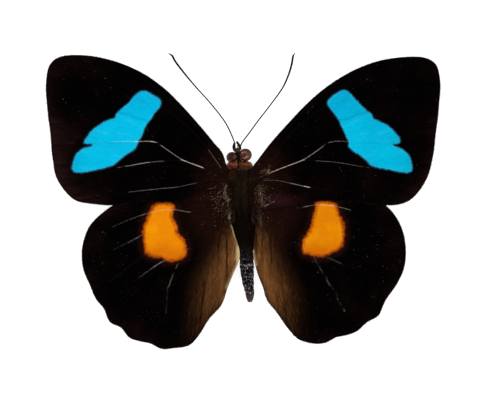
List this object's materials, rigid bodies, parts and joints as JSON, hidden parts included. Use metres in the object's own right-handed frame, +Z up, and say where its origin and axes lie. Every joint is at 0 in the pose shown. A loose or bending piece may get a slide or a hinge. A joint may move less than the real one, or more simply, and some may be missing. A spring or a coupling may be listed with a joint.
{
  "type": "spread butterfly specimen",
  "caption": "Dried butterfly with its wings spread flat, black with blue bands and orange patches, resting on its underside.",
  "frame": {"origin": "on the surface that the specimen rests on, under the middle of its spread outline", "axes": "+X towards the tip of the insect's right forewing, +Y past its head, +Z up"},
  "size_m": [0.0583, 0.0438, 0.0056],
  "materials": {
    "forewing_scales": "matte",
    "hindwing_scales": "matte",
    "body_hair": "matte",
    "abdomen_scales": "matte",
    "head_hair": "matte",
    "eye_brown": "satin",
    "collar_rust": "matte",
    "horn_black": "satin"
  },
  "bodies": {
    "root": {"forewing_left": "forewing_scales", "forewing_right": "forewing_scales", "hindwing_left": "hindwing_scales", "hindwing_right": "hindwing_scales", "thorax": "body_hair", "neck": "body_hair", "shoulder_flap_left": "body_hair", "shoulder_flap_right": "body_hair", "abdomen": "abdomen_scales", "head": "head_hair", "palp_left": "head_hair", "palp_right": "head_hair", "eye_left": "eye_brown", "eye_right": "eye_brown", "collar_lobe_left": "collar_rust", "collar_lobe_right": "collar_rust", "antenna_left": "horn_black", "antenna_right": "horn_black", "proboscis": "horn_black", "foreleg_left": "horn_black", "foreleg_right": "horn_black", "midleg_left": "horn_black", "midleg_right": "horn_black", "hindleg_left": "horn_black", "hindleg_right": "horn_black"}
  },
  "joints": []
}
